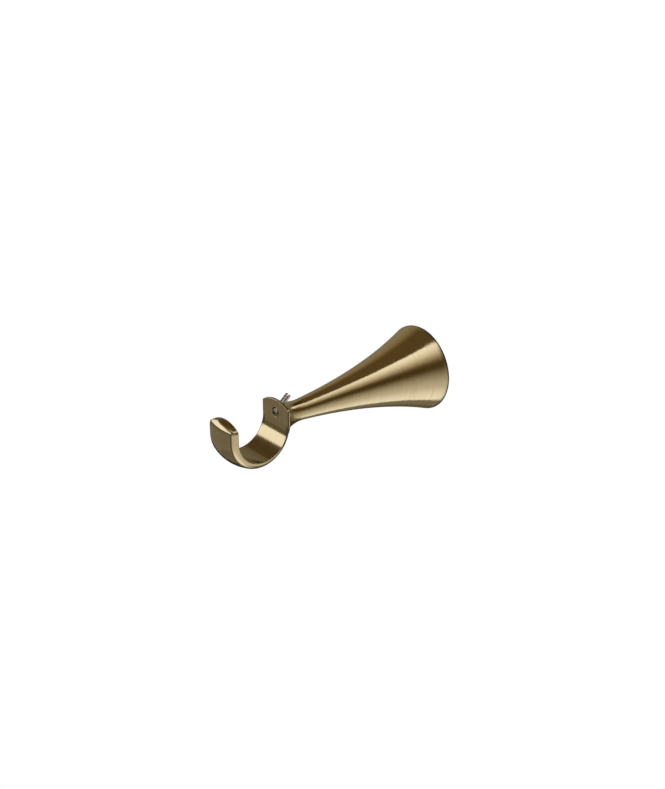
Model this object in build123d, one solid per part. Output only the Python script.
from build123d import *
from math import cos, radians, sin, sqrt
import os

# Curtain pole bracket for a round pole. Lengths are millimetres and angles are degrees.
# The wall is the plane y = 0, the room lies towards -Y, the pole runs along X and +Z is up.
# The arm's axis is the Y axis, and the pole's centre lies a little below it.

# The pole, and how far it hangs from the wall
projection = 108.9
pole_drop = 0.6
pole_radius = 14.0
pole_room = 0.5

# The cup that carries the pole: a crowned barrel, bored a little behind and above its own centre
cup_width = 19.7
cup_wall = 3.9
cup_forward = 0.8
cup_drop = 0.4
cup_crown_radius = 27.0
cup_edge_radius = 2.6

# The lip in front of the pole: its crowned outside goes on over the top, under an arch
lip_height = 9.0
lip_arch_radius = 16.0
lip_corner_radius = 2.5

# The arches are cut from a strip that is a little wider than the cup on each side
arch_room = 0.05

# The plate behind the pole
plate_thickness = 1.2
plate_height = 10.35
plate_arch_radius = 17.6
plate_corner_radius = 1.6

# The trumpet arm: its slopes are measured from the arm's axis
neck_radius = 5.3
neck_slope = 5.0
neck_hollow_length = 14.0
neck_hollow_radius = 21.8
neck_hollow_turn = 41.0
base_radius = 22.2
base_slope = 21.0
rim_radius = 0.7

# The hollow in the base
recess_wall = 4.6
recess_depth = 7.0
core_depth = 32.0
core_wide_radius = 16.0
core_narrow_radius = 8.8

# The slotted screw that holds the pole
pole_screw_radius = 1.45
pole_screw_length = 11.0
pole_screw_slope = 40.0
pole_screw_height = 3.2
pole_screw_reach = 0.4
pole_screw_point = 0.9
pole_screw_chamfer = 0.3
pole_screw_slot_width = 0.5
pole_screw_slot_depth = 0.9
pole_screw_sink_radius = 2.5
pole_screw_sink_depth = 0.8

# The plate that goes on the wall first, with two countersunk holes and a groove round its edge
wall_plate_thickness = 5.0
wall_plate_room = 0.15
wall_hole_radius = 2.3
wall_hole_sink_radius = 4.4
wall_hole_spacing = 22.0
groove_width = 2.8
groove_depth = 1.4

# The socket screw under the base, whose point enters the groove
lock_screw_radius = 2.0
lock_screw_length = 4.0
lock_screw_from_wall = 2.5
lock_screw_point = 1.0
lock_screw_socket_flats = 2.0
lock_screw_socket_depth = 2.0
lock_screw_room = 0.1

# Room between a screw and its threaded hole
thread_room = 0.05

# Worked out from the sizes above
cup_radius = pole_radius + pole_room
cup_outer_radius = cup_radius + cup_wall
half_width = cup_width / 2
lip_thickness = cup_wall + cup_forward
beyond = 2 * cup_outer_radius
plate_front = cup_radius - projection
plate_back = plate_front + plate_thickness
recess_radius = base_radius - recess_wall
wall_plate_radius = recess_radius - wall_plate_room
lock_tip_radius = lock_screw_radius - lock_screw_point
lock_seat = groove_depth * (1 - 2 * lock_tip_radius / groove_width)
lock_tip_height = lock_screw_room + wall_plate_radius - lock_seat


def arched(height, arch_radius, corner_radius):
    """An upright strip as wide as the cup and its room, with an arched top and rounded corners."""
    width = cup_width + 2 * arch_room
    arch = Pos(0, height - arch_radius) * Circle(arch_radius)
    top = arch & Pos(0, beyond / 2) * Rectangle(width, beyond)
    top = fillet(top.vertices().sort_by(Axis.Y)[-2:], corner_radius)
    return top + Pos(0, -beyond / 2) * Rectangle(width, beyond)


def slab(outline, front, back):
    """An upright outline carried along Y from front to back."""
    return Pos(0, back, 0) * extrude(Plane.XZ * outline, back - front)


def make_arm():
    """The turned trumpet, from inside the plate to the wall."""
    neck = (plate_back + neck_hollow_length, neck_radius)
    start = Vector(cos(radians(neck_slope)), sin(radians(neck_slope)))
    end = Vector(cos(radians(base_slope)), sin(radians(base_slope)))
    rim_start = (-rim_radius * (1 + end.Y), base_radius - rim_radius * (1 - end.X))
    flare = Spline(neck, rim_start, tangents=[start, end])
    rim = JernArc(rim_start, end, rim_radius, -90 - base_slope)
    hollow = JernArc(neck, -start, neck_hollow_radius, -neck_hollow_turn)
    root = hollow @ 1
    inside = Polyline(rim @ 1, (0, 0), (root.X, 0), root)
    return revolve(Plane.YZ * make_face([hollow, flare, rim, inside]), Axis.Y)


def crowned_section(foot, height):
    """A section that stands on its foot and points to the front, its far side crowned."""
    shoulder = height - cup_crown_radius + sqrt(cup_crown_radius**2 - half_width**2)
    crown = ThreePointArc((-half_width, shoulder), (0, height), (half_width, shoulder))
    sides = Polyline(crown @ 1, (half_width, 0), (-half_width, 0), crown @ 0)
    section = make_face([crown, sides])
    section = fillet(section.vertices().sort_by(Axis.Y)[-2:], cup_edge_radius)
    return Plane(foot, (1, 0, 0), (0, 0, -1)) * section


def make_blank():
    """The crowned form that the cup is bored from: a barrel, upright in front and rounded over."""
    centre = (0, -projection - cup_forward, -cup_drop)
    section = crowned_section(centre, cup_outer_radius)
    barrel = revolve(section, Axis(centre, (1, 0, 0)), 270)
    corner = (0, -projection - cup_radius, lip_height - lip_thickness)
    upright = extrude(section, centre[2] - corner[2])
    over = revolve(crowned_section(corner, lip_thickness), Axis(corner, (-1, 0, 0)), 90)
    return barrel + upright + over


def make_mouth():
    """The space that the pole drops into: a half round with straight walls above it."""
    round_part = Pos(0, -projection, 0) * Rot(0, 90, 0) * Cylinder(cup_radius, beyond)
    above = Pos(0, -projection, beyond / 2) * Box(beyond, 2 * cup_radius, beyond)
    return round_part + above


def make_cup():
    """The lip, the cup and the plate in one."""
    blank = make_blank()
    lip_outline = arched(lip_height, lip_arch_radius, lip_corner_radius)
    plate_outline = arched(plate_height, plate_arch_radius, plate_corner_radius)
    foot = Circle(half_width) + Pos(0, beyond / 2) * Rectangle(cup_width, beyond)
    front = blank & slab(lip_outline, -projection - beyond, -projection)
    behind = blank & slab(Rectangle(2 * beyond, 2 * beyond), -projection, -projection + beyond)
    plate = slab(plate_outline & foot, plate_front, plate_back)
    return front + behind + plate - make_mouth()


def pole_screw_plane(offset):
    """A plane across the pole screw, its distance measured outwards from the plate's face."""
    slope = radians(pole_screw_slope)
    along = Vector(0, cos(slope), sin(slope))
    return Plane(Vector(0, plate_front, pole_screw_height) + along * offset, (1, 0, 0), along)


def lock_screw_plane(height):
    """A plane across the lock screw, its distance measured down from the arm's axis."""
    return Plane((0, -lock_screw_from_wall, -height), (1, 0, 0), (0, 0, -1))


def make_screw_mouth():
    """The shallow countersink where the pole screw comes through the plate."""
    face = Plane((0, plate_front, pole_screw_height), (1, 0, 0), (0, 1, 0))
    low = pole_screw_sink_radius - pole_screw_sink_depth
    return face * Cone(
        pole_screw_sink_radius, low, pole_screw_sink_depth, align=(Align.CENTER, Align.CENTER, Align.MIN)
    )


def make_base_hollow():
    """The recess for the wall plate, and the tapered core behind it."""
    outline = Polyline(
        (0, 0),
        (0, recess_radius),
        (-recess_depth, recess_radius),
        (-recess_depth, core_wide_radius),
        (-core_depth, core_narrow_radius),
        (-core_depth, 0),
        close=True,
    )
    return revolve(Plane.YZ * make_face(outline), Axis.Y)


def rod(plane, radius, length):
    """A cylinder that stands on a plane."""
    return plane * Cylinder(radius, length, align=(Align.CENTER, Align.CENTER, Align.MIN))


def pointed_rod(radius, point, length):
    """A screw's plain form, standing on its cut-off cone point."""
    tip = Cone(radius - point, radius, point, align=(Align.CENTER, Align.CENTER, Align.MIN))
    return tip + rod(Plane.XY.offset(point), radius, length - point)


def make_bracket_body():
    """The casting: trumpet arm, plate, cup and lip in one piece."""
    body = make_arm() + Pos(0, 0, -pole_drop) * make_cup()
    body -= make_base_hollow()
    body -= make_screw_mouth()
    body -= rod(pole_screw_plane(-2 * pole_screw_radius), pole_screw_radius + thread_room, beyond)
    body -= rod(lock_screw_plane(recess_radius - lock_screw_radius), lock_screw_radius + thread_room, beyond)
    return body


def make_pole_screw():
    """The slotted set screw, its inner end just through the plate."""
    screw = pointed_rod(pole_screw_radius, pole_screw_point, pole_screw_length)
    screw = chamfer(screw.edges().group_by(Axis.Z)[-1], pole_screw_chamfer)
    slot = Box(4 * pole_screw_radius, pole_screw_slot_width, 2 * pole_screw_slot_depth)
    screw -= Pos(0, 0, pole_screw_length) * slot
    return pole_screw_plane(-pole_screw_reach) * screw


def make_wall_plate():
    """The disc screwed to the wall inside the base, grooved for the lock screw's point."""
    groove_middle = -lock_screw_from_wall
    outline = Polyline(
        (0, 0),
        (0, wall_plate_radius),
        (groove_middle + groove_width / 2, wall_plate_radius),
        (groove_middle, wall_plate_radius - groove_depth),
        (groove_middle - groove_width / 2, wall_plate_radius),
        (-wall_plate_thickness, wall_plate_radius),
        (-wall_plate_thickness, 0),
        close=True,
    )
    plate = revolve(Plane.YZ * make_face(outline), Axis.Y)
    room_face = Plane((0, -wall_plate_thickness, 0), (1, 0, 0), (0, -1, 0))
    sink = CounterSinkHole(wall_hole_radius, wall_hole_sink_radius, wall_plate_thickness)
    for side in (-1, 1):
        plate -= room_face * Pos(side * wall_hole_spacing / 2, 0, 0) * sink
    return plate


def make_lock_screw():
    """The socket screw under the base, with its point towards the arm's axis."""
    screw = pointed_rod(lock_screw_radius, lock_screw_point, lock_screw_length)
    hexagon = RegularPolygon(lock_screw_socket_flats / 2, 6, major_radius=False)
    socket = extrude(Plane.XY.offset(lock_screw_length) * hexagon, -lock_screw_socket_depth)
    return lock_screw_plane(lock_tip_height) * (screw - socket)


os.makedirs("parts", exist_ok=True)
export_step(make_bracket_body(), "parts/bracket_body.step")
export_step(make_pole_screw(), "parts/pole_screw.step")
export_step(make_wall_plate(), "parts/wall_plate.step")
export_step(make_lock_screw(), "parts/lock_screw.step")
